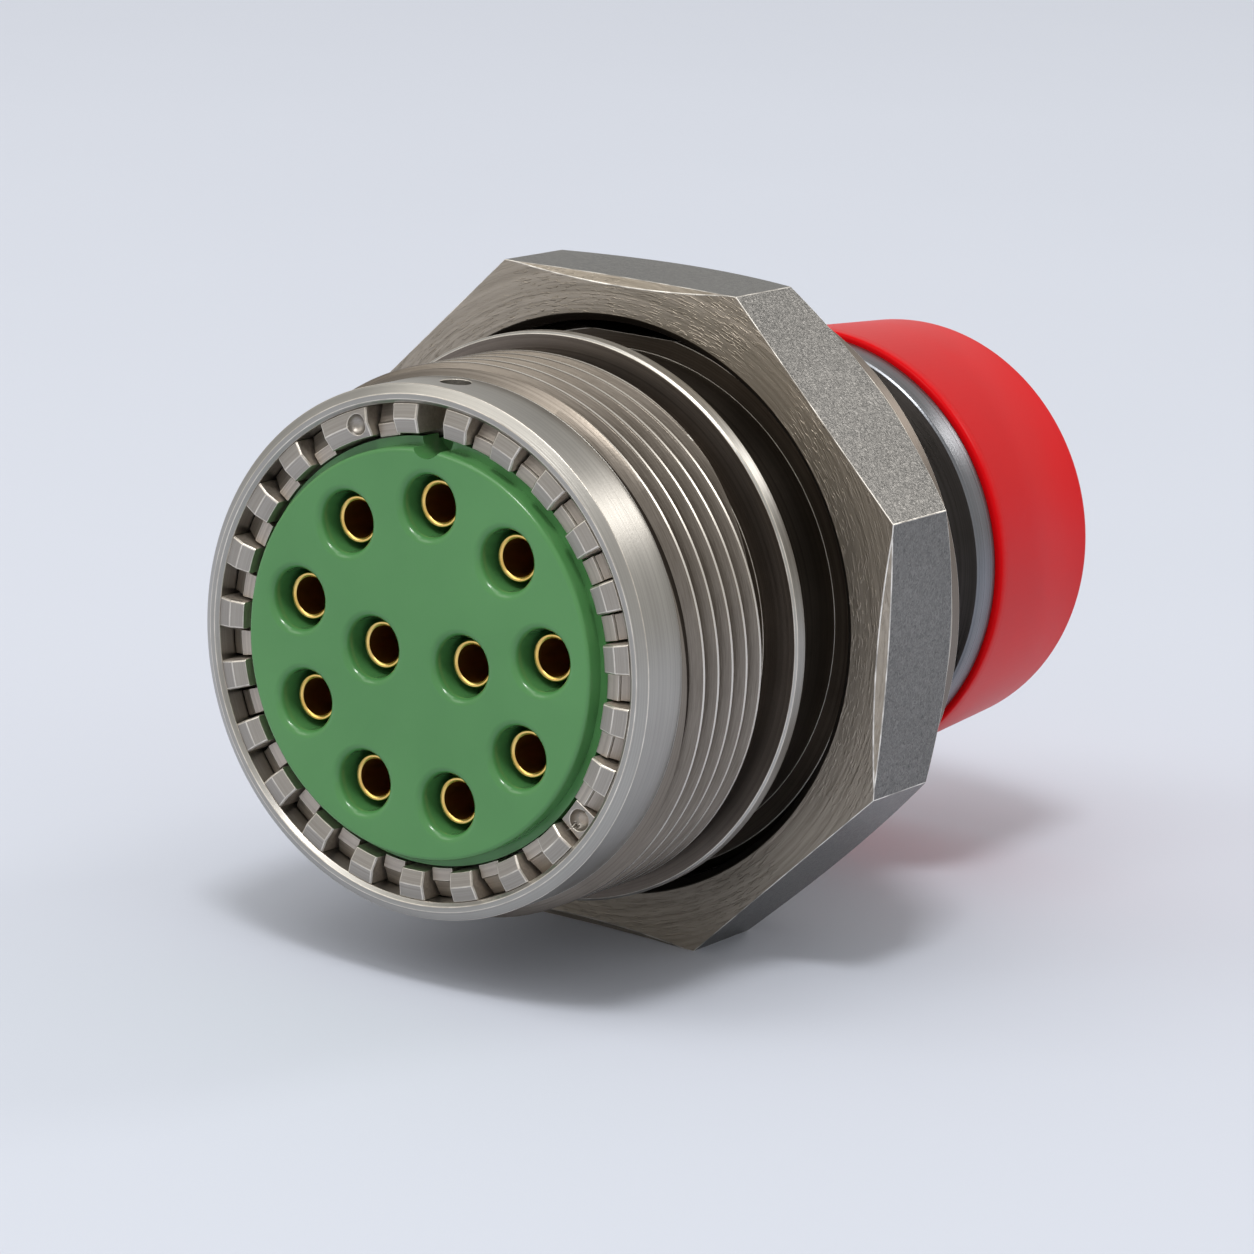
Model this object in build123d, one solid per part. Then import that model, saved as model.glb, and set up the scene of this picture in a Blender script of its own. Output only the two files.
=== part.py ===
from build123d import *
import math
import os

# Jam-nut receptacle with a castellated mating end.
# Axis along Y, mating end toward -Y, +Z up. Millimetres.
# Stations are distances behind the mating face of the shell; the frame origin lies on the
# axis in the plane of the panel seat (front of the rear flange).

# Clearances
PRESS_GAP = 0.02
SLIP_GAP = 0.04
THREAD_GAP = 0.05

# Mating thread and pilot
THREAD_OD = 34.92
CREST_R = THREAD_OD / 2
THREAD_ROOT_R = CREST_R - 0.72
PILOT_R = THREAD_ROOT_R + 0.02
FACE_R = PILOT_R - 0.60
CHAMFER_LEN = 0.45
PILOT_LEN = 4.05
THREAD_START = PILOT_LEN + 0.25
THREAD_END = THREAD_START + 8.4
CREST_PITCH = 1.6
THREAD_STARTS = 3
CREST_W = 0.42
ROOT_W = 1.22
INDEX_STATION = 2.6
INDEX_R = 0.97
INDEX_DEPTH = 0.85

# Barrel with the panel thread, seat and rear flange
BARREL_R = CREST_R + 0.99
SEAT = 29.35
BARREL_FRONT = SEAT - 7.35
RELIEF_FRONT = SEAT - 0.80
RELIEF_R = BARREL_R - 0.55
BARREL_FLAT = BARREL_R - 0.85
ORING_R = BARREL_R + 1.50
ORING_SECTION = 1.00
ORING_PROUD = 0.23
ORING_SIDE_GAP = 0.10
FLANGE_R = ORING_R + 0.95
FLANGE_RIM = 0.95
HUB_FRONT = SEAT + 3.25
HUB_END = SEAT + 4.85
HUB_WALL = 1.70

# Grooves and stop ring between the two threads
GROOVE_A_R = THREAD_ROOT_R - 0.79
GROOVE_B_R = THREAD_ROOT_R - 0.14
RING_R = BARREL_R - THREAD_GAP
RING_FRONT = THREAD_END + 1.85
RING_REAR = RING_FRONT + 1.15
RING_EDGE = 0.14

# Castellated ring: two runs of teeth with a keyway between them at each end
RUN_A_START_DEG = -7.4
RUN_A_PITCH_DEG = 14.75
RUN_A_TEETH = 9
RUN_B_START_DEG = 133.0
RUN_B_PITCH_DEG = 15.22
RUN_B_TEETH = 14
RUN_A = (RUN_A_START_DEG, RUN_A_PITCH_DEG, RUN_A_TEETH)
RUN_B = (RUN_B_START_DEG, RUN_B_PITCH_DEG, RUN_B_TEETH)
TOOTH_DEG = 7.2
SHELL_WALL = 1.19
MOUTH_BEVEL = 0.25
RING_BORE_R = PILOT_R - SHELL_WALL
RING_BORE_END = 5.6
TOOTH_OUT_R = RING_BORE_R - PRESS_GAP
TOOTH_RIDGE_R = TOOTH_OUT_R - 0.93
TOOTH_IN_R = TOOTH_OUT_R - 1.85
TOOTH_ROOT_SET = 0.20
TOOTH_IN_SET = 0.24
TOOTH_BASE = RING_BORE_END - 1.4
TOOTH_BEVEL = 0.10
MAIN_KEY_DEG = 0.0
POCKET_DEG = -22.2
POCKET_R = 0.68
LOW_TOOTH_DEG = 124.6
LOW_TOOTH_SET = 0.85

# Ground fingers, one in each gap
FINGER_DEG = 6.4
FINGER_TIP = 0.85
FINGER_SEAT = RING_BORE_END + 0.4
FINGER_BORE_R = TOOTH_IN_R - 0.06
FINGER_BASE_OUT_R = FINGER_BORE_R - PRESS_GAP
FINGER_BASE_IN_R = FINGER_BORE_R - 0.44
FINGER_IN_R = FINGER_BASE_OUT_R - 0.10
FINGER_OUT_R = FINGER_IN_R + 0.90
FINGER_STEP = TOOTH_BASE - 1.0

# Front insert and its seal
INSERT_BORE_R = FINGER_BASE_IN_R - 0.04
INSERT_R = INSERT_BORE_R - SLIP_GAP
FACE_PROUD = 0.25
FACE_SET = -FACE_PROUD
LEDGE_R = FINGER_IN_R - 0.08
LEDGE_STATION = 1.05
LEDGE_REAR = FINGER_STEP - 0.5
INSERT_FACE_R = LEDGE_R - 0.55
INSERT_EDGE = 0.30
SEAL_FRONT = FINGER_SEAT + 0.6
SEAL_REAR = SEAL_FRONT + 1.6
SEAL_IN_R = INSERT_R - 0.82
SEAL_OUT_R = INSERT_BORE_R - PRESS_GAP
NOTCH_R = 1.15
NOTCH_CENTRE_R = INSERT_FACE_R + 0.56
NOTCH_DEPTH = 3.0

# Rest of the insert stack, held by a snap ring
COLLAR_SEAT = 9.0
COLLAR_BORE_R = INSERT_BORE_R + 0.82
COLLAR_R = COLLAR_BORE_R - SLIP_GAP
COLLAR_LEN = 2.5
COLLAR_END = COLLAR_SEAT + COLLAR_LEN
WAFER_LEN = 6.0
WAFER_END = COLLAR_END + WAFER_LEN
REAR_INSERT_END = SEAT - 1.95
SNAP_END = REAR_INSERT_END + 0.9
SNAP_GROOVE_R = COLLAR_BORE_R + 0.75
SNAP_OUT_R = SNAP_GROOVE_R - 0.03
SNAP_WIDTH = 2.10
SNAP_IN_R = SNAP_OUT_R - SNAP_WIDTH
SNAP_GAP = 7.0

# Contacts, their cavities and retaining clips
RING_CONTACTS = 9
CONTACT_CLOCK_DEG = 2.0
CONTACT_CIRCLE_R = INSERT_FACE_R - 3.49
INNER_SPREAD = 0.36
INNER_CONTACT_X = CONTACT_CIRCLE_R * INNER_SPREAD
INNER_CONTACT_Z = -0.15
CONTACT_FRONT = FACE_SET + 1.40
CONTACT_BORE_R = 1.20
CONTACT_R = CONTACT_BORE_R + 0.27
CONTACT_RIM = 0.10
CONTACT_BORE_END = CONTACT_FRONT + 7.25
CONTACT_HOLE_R = CONTACT_R + PRESS_GAP
CAVITY_R = CONTACT_R + 0.47
CAVITY_FLARE = 0.50
CAVITY_END = 5.0
CONTACT_COLLAR_FRONT = COLLAR_END + 0.9
CONTACT_COLLAR_END = CONTACT_COLLAR_FRONT + 1.6
CONTACT_COLLAR_R = CONTACT_R + 0.41
COLLAR_HOLE_R = CONTACT_COLLAR_R + SLIP_GAP
CONTACT_REAR_R = CONTACT_R + 0.08
REAR_HOLE_R = CONTACT_REAR_R + PRESS_GAP
CONTACT_TAIL = 2.4
CONTACT_END = REAR_INSERT_END + CONTACT_TAIL
CRIMP_BORE_R = CONTACT_REAR_R - 0.40
CRIMP_BORE_LEN = 6.2
CRIMP_BORE_FRONT = CONTACT_END - CRIMP_BORE_LEN
CLIP_FRONT = CONTACT_COLLAR_END + 0.05
CLIP_LIP_END = CLIP_FRONT + 0.40
CLIP_LIP_R = CONTACT_REAR_R + 0.05
CLIP_IN_R = CONTACT_COLLAR_R + 0.02
CLIP_OUT_R = CLIP_IN_R + 0.36
CLIP_HOLE_R = CLIP_OUT_R + PRESS_GAP

# Jam nut, washer and panel seal
WASHER_REAR = SEAT - 0.30
WASHER_FRONT = WASHER_REAR - 0.60
NUT_REAR = WASHER_FRONT - 0.05
NUT_FRONT = NUT_REAR - 8.40
NUT_BORE_R = BARREL_R + THREAD_GAP
NUT_AF = 2 * (NUT_BORE_R + 2.95)
NUT_SINK = 0.55
NUT_SINK_R = NUT_BORE_R + 0.48
NUT_REAR_CIRCLE_R = NUT_AF / 2 - 0.10
SCALLOP = 0.52
SCALLOP_HALF = NUT_AF / 2 * math.tan(math.radians(22.5)) - 0.585
WASHER_R = NUT_AF / 2 - 0.45
WASHER_HOLE_R = BARREL_R + 0.08
WASHER_FLAT = BARREL_FLAT + 0.08
ORING_FRONT = SEAT - ORING_PROUD
ORING_GROOVE_END = ORING_FRONT + ORING_SECTION

# Rear sleeve pressed into the hub
SLEEVE_SEAT = SEAT + 2.05
SLEEVE_BORE_R = COLLAR_BORE_R + 0.82
HUB_R = SLEEVE_BORE_R + HUB_WALL
SPIGOT_R = SLEEVE_BORE_R - PRESS_GAP
SLEEVE_IN_R = CONTACT_CIRCLE_R + 1.50
NECK_R = SLEEVE_IN_R + 2.0
NECK_LEN = 9.05
SHOULDER_FRONT = HUB_END + NECK_LEN
SHOULDER_REAR = SHOULDER_FRONT + 2.22
ACCESSORY_R = SLEEVE_IN_R + 2.4
SHOULDER_R = ACCESSORY_R + 1.66
ACCESSORY_LEN = 11.93
SLEEVE_END = SHOULDER_REAR + ACCESSORY_LEN
SLEEVE_TEETH = 12
SLEEVE_TOOTH = 1.1

# Wire grommet and its keeper
GROMMET_R = SLEEVE_IN_R + 0.50
GROMMET_BORE_R = GROMMET_R + PRESS_GAP
GROMMET_SEAT = SHOULDER_REAR + 1.53
KEEPER_INSET = 1.4
KEEPER_END = SLEEVE_END - KEEPER_INSET
KEEPER_LEN = 0.8
GROMMET_END = KEEPER_END - KEEPER_LEN
KEEPER_GAP = 3.0
KEEPER_IN_R = SLEEVE_IN_R + 0.05
KEEPER_GROOVE_R = GROMMET_BORE_R + 0.61
KEEPER_OUT_R = KEEPER_GROOVE_R - 0.03
WIRE_HOLE_R = 1.25

# Protective cap
CAP_FRONT = SHOULDER_REAR + 0.10
CAP_IN_R = ACCESSORY_R + 0.07
CAP_LIP_R = SHOULDER_R + 0.37
CAP_REAR_R = CAP_LIP_R - 0.88
CAP_WALL_END = SLEEVE_END + 0.8
CAP_END = CAP_WALL_END + 1.3
CAP_EDGE = 0.7


def y_of(station):
    return station - SEAT


def turned(points):
    """Solid of revolution about the Y axis from (radius, station) points."""
    path = [(r, y_of(s)) for r, s in points]
    face = make_face(Polyline(*path, close=True))
    return revolve(face, axis=Axis.Y, revolution_arc=360)


def tube(r_in, r_out, s0, s1):
    return turned([(r_in, s0), (r_out, s0), (r_out, s1), (r_in, s1)])


def rod(radius, s0, s1, x=0.0, z=0.0):
    """Round bar along Y between two stations, at (x, z)."""
    mid = y_of((s0 + s1) / 2)
    return Pos(x, mid, z) * Rot(90, 0, 0) * Cylinder(radius, s1 - s0)


def block(x, y0, y1, z0, z1):
    """Box of width x about the Z plane, between stations y0 and y1 and heights z0 and z1."""
    return Pos(0, y_of((y0 + y1) / 2), (z0 + z1) / 2) * Box(x, y1 - y0, z1 - z0)


def around(shape, angle):
    """Shape turned clockwise about Y as seen from the mating end, from the top."""
    return Rot(0, angle, 0) * shape


def contact_places():
    """Centres of the eleven cavities, (x, z)."""
    places = []
    for k in range(RING_CONTACTS):
        a = math.radians(CONTACT_CLOCK_DEG + k * 360.0 / RING_CONTACTS)
        places.append((CONTACT_CIRCLE_R * math.sin(a), CONTACT_CIRCLE_R * math.cos(a)))
    places.append((-INNER_CONTACT_X, INNER_CONTACT_Z))
    places.append((INNER_CONTACT_X, INNER_CONTACT_Z))
    return places


def sector(points, centre_deg, width_deg):
    """Part of a turned ring, centred at an angle clockwise from the top."""
    path = [(r, y_of(s)) for r, s in points]
    face = make_face(Polyline(*path, close=True))
    piece = revolve(face, axis=Axis.Y, revolution_arc=width_deg)
    return Rot(0, centre_deg - 90 - width_deg / 2, 0) * piece


def run_angles(run):
    start, pitch, count = run
    return [start + pitch * k for k in range(count)]


def gap_angles(run):
    start, pitch, count = run
    return [start + pitch * (k + 0.5) for k in range(count - 1)]


def circle_edges(solid, radius, station):
    """Circular edges of a solid about Y with one radius, at one station."""
    found = []
    for edge in solid.edges().filter_by(GeomType.CIRCLE):
        if abs(edge.radius - radius) < 0.001 and abs(edge.arc_center.Y - y_of(station)) < 0.001:
            found.append(edge)
    return found


# Mating thread: three identical ridges, each one start of the quick-coupling thread
def thread_ridge(start_deg):
    lead = CREST_PITCH * THREAD_STARTS
    height = THREAD_END - THREAD_START
    base_r = THREAD_ROOT_R - 0.12
    path = Helix(pitch=lead, height=height, radius=base_r, center=(0, 0, 0), direction=(0, 0, 1))
    depth = CREST_R - base_r
    plane = Plane(origin=(base_r, 0, 0), x_dir=(1, 0, 0), z_dir=(0, -1, 0))
    profile = plane * make_face(Polyline(
        (0, -ROOT_W / 2), (depth, -CREST_W / 2), (depth, CREST_W / 2), (0, ROOT_W / 2), close=True))
    ridge = sweep(profile, path=path, is_frenet=True)
    ridge = Rot(0, 0, start_deg) * ridge
    return Pos(0, y_of(THREAD_START), 0) * Rot(-90, 0, 0) * ridge


def shell_body():
    """Turned blank of the shell: outside from the face back, then the bores forward."""
    groove_in = ORING_R - ORING_SECTION / 2 - ORING_SIDE_GAP
    groove_out = ORING_R + ORING_SECTION / 2 + ORING_SIDE_GAP
    mating_end = [
        (RING_BORE_R, RING_BORE_END), (RING_BORE_R, MOUTH_BEVEL), (RING_BORE_R + MOUTH_BEVEL, 0),
        (FACE_R, 0), (PILOT_R, CHAMFER_LEN),
        (PILOT_R, PILOT_LEN), (THREAD_ROOT_R, PILOT_LEN), (THREAD_ROOT_R, THREAD_END),
        (GROOVE_A_R, THREAD_END), (GROOVE_A_R, RING_FRONT)]
    stop_ring = [
        (RING_R - RING_EDGE, RING_FRONT), (RING_R, RING_FRONT + RING_EDGE),
        (RING_R, RING_REAR - RING_EDGE), (RING_R - RING_EDGE, RING_REAR)]
    barrel = [
        (GROOVE_B_R, RING_REAR), (GROOVE_B_R, BARREL_FRONT), (BARREL_R - 0.6, BARREL_FRONT),
        (BARREL_R, BARREL_FRONT + 0.6), (BARREL_R, RELIEF_FRONT), (RELIEF_R, RELIEF_FRONT),
        (RELIEF_R, SEAT)]
    flange = [
        (groove_in, SEAT), (groove_in, ORING_GROOVE_END), (groove_out, ORING_GROOVE_END),
        (groove_out, SEAT), (FLANGE_R, SEAT), (FLANGE_R, SEAT + FLANGE_RIM),
        (HUB_R, HUB_FRONT), (HUB_R, HUB_END)]
    bores = [
        (SLEEVE_BORE_R, HUB_END), (SLEEVE_BORE_R, SLEEVE_SEAT), (COLLAR_BORE_R, SLEEVE_SEAT),
        (COLLAR_BORE_R, SNAP_END), (SNAP_GROOVE_R, SNAP_END), (SNAP_GROOVE_R, REAR_INSERT_END),
        (COLLAR_BORE_R, REAR_INSERT_END), (COLLAR_BORE_R, COLLAR_SEAT),
        (INSERT_BORE_R, COLLAR_SEAT), (INSERT_BORE_R, FINGER_SEAT), (FINGER_BORE_R, FINGER_SEAT),
        (FINGER_BORE_R, RING_BORE_END)]
    return turned(mating_end + stop_ring + barrel + flange + bores)


def shell():
    body = shell_body()
    for k in range(THREAD_STARTS):
        body = body + thread_ridge(k * 360.0 / THREAD_STARTS)
    run_in = tube(THREAD_ROOT_R - 1, THREAD_OD, PILOT_LEN - 6, PILOT_LEN)
    body = body - (run_in - tube(THREAD_ROOT_R - 2, PILOT_R, PILOT_LEN - 7, PILOT_LEN + 1))
    body = body - tube(GROOVE_A_R, THREAD_OD, THREAD_END, RING_FRONT)
    hole = Pos(0, y_of(INDEX_STATION), PILOT_R - INDEX_DEPTH + 2) * Cylinder(INDEX_R, 4)
    flat = block(3 * BARREL_R, BARREL_FRONT, SEAT, BARREL_FLAT, BARREL_R + 1)
    return body - hole - flat


# Castellated ring: each tooth has a roofed front, two sloped facets that meet in a ridge
def gap(first_deg, last_deg, depth):
    """Cutter for the space between two angles, from the front down to a depth."""
    walls = [(TOOTH_IN_R - 1, -1), (TOOTH_OUT_R + 1, -1), (TOOTH_OUT_R + 1, depth), (TOOTH_IN_R - 1, depth)]
    return sector(walls, (first_deg + last_deg) / 2, last_deg - first_deg)


def gap_spans():
    """Angles of every open gap in the ring, clockwise from the top."""
    half = TOOTH_DEG / 2
    spans = []
    for run in (RUN_A, RUN_B):
        middles = run_angles(run)
        for a, b in zip(middles, middles[1:]):
            spans.append((a + half, b - half))
    spans.append((run_angles(RUN_A)[-1] + half, LOW_TOOTH_DEG - half))
    spans.append((LOW_TOOTH_DEG + half, RUN_B[0] - half))
    spans.append((POCKET_DEG + half, RUN_A[0] - half))
    return spans


def castellated_ring():
    ring = turned([
        (TOOTH_IN_R, TOOTH_IN_SET), (TOOTH_RIDGE_R, 0), (TOOTH_OUT_R, TOOTH_ROOT_SET),
        (TOOTH_OUT_R, RING_BORE_END), (TOOTH_IN_R, RING_BORE_END)])
    for first_deg, last_deg in gap_spans():
        ring = ring - gap(first_deg, last_deg, TOOTH_BASE)
    facet = TOOTH_OUT_R - TOOTH_RIDGE_R
    edges = []
    for edge in ring.edges():
        if edge.center().Y < y_of(TOOTH_ROOT_SET) and facet * 0.7 < edge.length < facet * 1.2:
            edges.append(edge)
    ring = chamfer(edges, TOOTH_BEVEL)
    half = TOOTH_DEG / 2
    ring = ring - gap(LOW_TOOTH_DEG - half - 0.2, LOW_TOOTH_DEG + half + 0.2, LOW_TOOTH_SET)
    for depth, angle in ((0.0, POCKET_DEG), (LOW_TOOTH_SET, LOW_TOOTH_DEG)):
        ring = ring - around(Pos(0, y_of(depth), TOOTH_RIDGE_R) * Sphere(POCKET_R), angle)
    return ring


def finger_angles():
    """Gap centres that carry a finger: all but the main keyway."""
    run_a = [a for a in gap_angles(RUN_A) if abs(a - MAIN_KEY_DEG) > 2]
    beside_pocket = run_angles(RUN_A)[0] - RUN_A[1] / 2
    beside_low = run_angles(RUN_A)[-1] + RUN_A[1] / 2 - 0.4
    return run_a + gap_angles(RUN_B) + [beside_pocket, beside_low]


def ground_finger_ring():
    base = tube(FINGER_BASE_IN_R, FINGER_BASE_OUT_R, FINGER_STEP, FINGER_SEAT)
    arm = [(FINGER_BASE_IN_R, FINGER_STEP), (FINGER_IN_R, FINGER_STEP), (FINGER_IN_R, FINGER_TIP),
           (FINGER_OUT_R - 0.10, FINGER_TIP), (FINGER_OUT_R, FINGER_TIP + 0.10),
           (FINGER_OUT_R, TOOTH_BASE - 0.05), (FINGER_BASE_IN_R, TOOTH_BASE - 0.05)]
    return base.fuse(*[sector(arm, a, FINGER_DEG) for a in finger_angles()])


# Insert stack
def front_insert():
    body = turned([
        (0, FACE_SET), (INSERT_FACE_R, FACE_SET), (INSERT_FACE_R, LEDGE_STATION),
        (LEDGE_R, LEDGE_STATION), (LEDGE_R, LEDGE_REAR), (INSERT_R, LEDGE_REAR),
        (INSERT_R, SEAL_FRONT), (SEAL_IN_R, SEAL_FRONT), (SEAL_IN_R, SEAL_REAR), (INSERT_R, SEAL_REAR),
        (INSERT_R, COLLAR_SEAT), (COLLAR_R, COLLAR_SEAT), (COLLAR_R, COLLAR_END), (0, COLLAR_END)])
    body = fillet(circle_edges(body, INSERT_FACE_R, FACE_SET), INSERT_EDGE)
    notch = rod(NOTCH_R, FACE_SET - 1, NOTCH_DEPTH, 0, NOTCH_CENTRE_R)
    body = body - notch
    for x, z in contact_places():
        body = body - rod(CAVITY_R, FACE_SET - 1, CAVITY_END, x, z)
        body = body - rod(CONTACT_HOLE_R, CAVITY_END - 1, COLLAR_END + 1, x, z)
    return fillet(circle_edges(body, CAVITY_R, FACE_SET), CAVITY_FLARE)


def peripheral_seal():
    middle = (SEAL_FRONT + SEAL_REAR) / 2
    return turned([
        (SEAL_IN_R, SEAL_FRONT), (SEAL_OUT_R - 0.2, SEAL_FRONT), (SEAL_OUT_R, SEAL_FRONT + 0.2),
        (SEAL_OUT_R - 0.2, middle), (SEAL_OUT_R, SEAL_REAR - 0.2), (SEAL_OUT_R - 0.2, SEAL_REAR),
        (SEAL_IN_R, SEAL_REAR)])


def clip_wafer():
    body = rod(COLLAR_R, COLLAR_END, WAFER_END)
    for x, z in contact_places():
        body = body - rod(COLLAR_HOLE_R, COLLAR_END - 1, CLIP_FRONT + 1, x, z)
        body = body - rod(CLIP_HOLE_R, CLIP_FRONT, WAFER_END + 1, x, z)
    return body


def contact_clips():
    clip = turned([
        (CLIP_LIP_R, CLIP_FRONT), (CLIP_OUT_R, CLIP_FRONT), (CLIP_OUT_R, WAFER_END),
        (CLIP_IN_R, WAFER_END), (CLIP_IN_R, CLIP_LIP_END), (CLIP_LIP_R, CLIP_LIP_END)])
    return Compound(children=[Pos(x, 0, z) * clip for x, z in contact_places()])


def rear_insert():
    body = rod(COLLAR_R, WAFER_END, REAR_INSERT_END)
    for x, z in contact_places():
        body = body - rod(REAR_HOLE_R, WAFER_END - 1, REAR_INSERT_END + 1, x, z)
    return body


def insert_snap_ring():
    ring = tube(SNAP_IN_R, SNAP_OUT_R, REAR_INSERT_END, SNAP_END)
    return ring - block(SNAP_GAP, REAR_INSERT_END - 1, SNAP_END + 1, -SNAP_OUT_R - 2, -SNAP_IN_R + 2)


# Socket contact: mating bore in front, retaining collar, crimp barrel behind
def contact(x, z):
    socket = turned([
        (CONTACT_BORE_R + CONTACT_RIM, CONTACT_FRONT), (CONTACT_R - 0.07, CONTACT_FRONT),
        (CONTACT_R, CONTACT_FRONT + 0.07), (CONTACT_R, CONTACT_COLLAR_FRONT),
        (CONTACT_COLLAR_R, CONTACT_COLLAR_FRONT), (CONTACT_COLLAR_R, CONTACT_COLLAR_END),
        (CONTACT_REAR_R, CONTACT_COLLAR_END), (CONTACT_REAR_R, CONTACT_END),
        (CRIMP_BORE_R, CONTACT_END), (CRIMP_BORE_R, CRIMP_BORE_FRONT), (0, CRIMP_BORE_FRONT),
        (0, CONTACT_BORE_END), (CONTACT_BORE_R, CONTACT_BORE_END),
        (CONTACT_BORE_R, CONTACT_FRONT + CONTACT_RIM)])
    return Pos(x, 0, z) * socket


# Jam nut: octagon with scalloped front bevels on its main flats and a coned back
def jam_nut():
    outline = RegularPolygon(NUT_AF / 2, 8, major_radius=False, rotation=22.5)
    prism = extrude(outline, amount=NUT_REAR - NUT_FRONT)
    body = Pos(0, y_of(NUT_FRONT), 0) * Rot(-90, 0, 0) * prism
    reach = NUT_AF * 0.6
    cone = turned([
        (0, NUT_FRONT - 1), (reach, NUT_FRONT - 1),
        (reach, NUT_REAR - (reach - NUT_REAR_CIRCLE_R)), (NUT_REAR_CIRCLE_R, NUT_REAR), (0, NUT_REAR)])
    body = body & cone
    bore = turned([
        (0, NUT_FRONT - 1), (NUT_SINK_R, NUT_FRONT - 1), (NUT_SINK_R, NUT_FRONT),
        (NUT_BORE_R, NUT_FRONT + NUT_SINK), (NUT_BORE_R, NUT_REAR - NUT_SINK),
        (NUT_SINK_R, NUT_REAR), (NUT_SINK_R, NUT_REAR + 1), (0, NUT_REAR + 1)])
    body = body - bore
    inset = SCALLOP / math.sqrt(2)
    cutter_r = (SCALLOP_HALF ** 2 + inset ** 2) / (2 * inset)
    out = (cutter_r - inset) / math.sqrt(2)
    cutter = Rot(-45, 0, 0) * Cylinder(cutter_r, 12 * SCALLOP)
    cutter = Pos(0, y_of(NUT_FRONT) - out, NUT_AF / 2 + out) * cutter
    for k in range(4):
        body = body - around(cutter, 90 * k)
    return body


def panel_washer():
    hole = rod(WASHER_HOLE_R, WASHER_FRONT - 1, WASHER_REAR + 1)
    hole = hole - block(3 * BARREL_R, WASHER_FRONT - 2, WASHER_REAR + 2, WASHER_FLAT, WASHER_HOLE_R + 1)
    return rod(WASHER_R, WASHER_FRONT, WASHER_REAR) - hole


def panel_o_ring():
    middle = y_of(ORING_FRONT + ORING_SECTION / 2)
    return Pos(0, middle, 0) * Rot(90, 0, 0) * Torus(ORING_R, ORING_SECTION / 2)


# Rear sleeve pressed into the hub, with an accessory end under the cap
def rear_sleeve():
    body = turned([
        (SLEEVE_IN_R, SLEEVE_SEAT), (SPIGOT_R, SLEEVE_SEAT), (SPIGOT_R, HUB_END),
        (NECK_R, HUB_END + 0.5), (NECK_R, SHOULDER_FRONT), (SHOULDER_R - 0.15, SHOULDER_FRONT),
        (SHOULDER_R, SHOULDER_FRONT + 0.15), (SHOULDER_R, SHOULDER_REAR), (ACCESSORY_R, SHOULDER_REAR),
        (ACCESSORY_R, SLEEVE_END), (GROMMET_BORE_R, SLEEVE_END), (GROMMET_BORE_R, KEEPER_END),
        (KEEPER_GROOVE_R, KEEPER_END), (KEEPER_GROOVE_R, GROMMET_END),
        (GROMMET_BORE_R, GROMMET_END), (GROMMET_BORE_R, GROMMET_SEAT), (SLEEVE_IN_R, GROMMET_SEAT)])
    half_pitch = 180.0 / SLEEVE_TEETH
    gap = [(GROMMET_BORE_R - 1, SLEEVE_END - SLEEVE_TOOTH), (ACCESSORY_R + 1, SLEEVE_END - SLEEVE_TOOTH),
           (ACCESSORY_R + 1, SLEEVE_END + 1), (GROMMET_BORE_R - 1, SLEEVE_END + 1)]
    for k in range(SLEEVE_TEETH):
        body = body - sector(gap, 2 * k * half_pitch, half_pitch)
    return body


def wire_grommet():
    body = rod(GROMMET_R, GROMMET_SEAT, GROMMET_END)
    for x, z in contact_places():
        body = body - rod(WIRE_HOLE_R, GROMMET_SEAT - 1, GROMMET_END + 1, x, z)
    return body


def grommet_keeper():
    ring = tube(KEEPER_IN_R, KEEPER_OUT_R, GROMMET_END, KEEPER_END)
    return ring - block(KEEPER_GAP, GROMMET_END - 1, KEEPER_END + 1, KEEPER_IN_R - 2, KEEPER_OUT_R + 2)


def protective_cap():
    body = turned([
        (CAP_IN_R, CAP_FRONT), (CAP_LIP_R - 0.2, CAP_FRONT), (CAP_LIP_R, CAP_FRONT + 0.2),
        (CAP_LIP_R, CAP_FRONT + 1.0), (CAP_LIP_R - 0.12, CAP_FRONT + 1.15), (CAP_REAR_R, CAP_END),
        (0, CAP_END), (0, CAP_WALL_END), (CAP_IN_R - 0.6, CAP_WALL_END), (CAP_IN_R, CAP_WALL_END - 0.6)])
    return fillet(circle_edges(body, CAP_REAR_R, CAP_END), CAP_EDGE)


def save(shape, node):
    export_step(shape, "parts/" + node + ".step")


os.makedirs("parts", exist_ok=True)
save(shell(), "shell")
save(castellated_ring(), "castellated_ring")
save(ground_finger_ring(), "ground_finger_ring")
save(front_insert(), "front_insert")
save(peripheral_seal(), "peripheral_seal")
save(clip_wafer(), "clip_wafer")
save(contact_clips(), "contact_clips")
save(rear_insert(), "rear_insert")
save(insert_snap_ring(), "insert_snap_ring")
for number, (x, z) in enumerate(contact_places(), start=1):
    save(contact(x, z), "contact_%02d" % number)
save(jam_nut(), "jam_nut")
save(panel_washer(), "panel_washer")
save(panel_o_ring(), "panel_o_ring")
save(rear_sleeve(), "rear_sleeve")
save(wire_grommet(), "wire_grommet")
save(grommet_keeper(), "grommet_keeper")
save(protective_cap(), "protective_cap")
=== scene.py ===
import math
import bmesh
import bpy
from mathutils import Matrix, Vector


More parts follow.
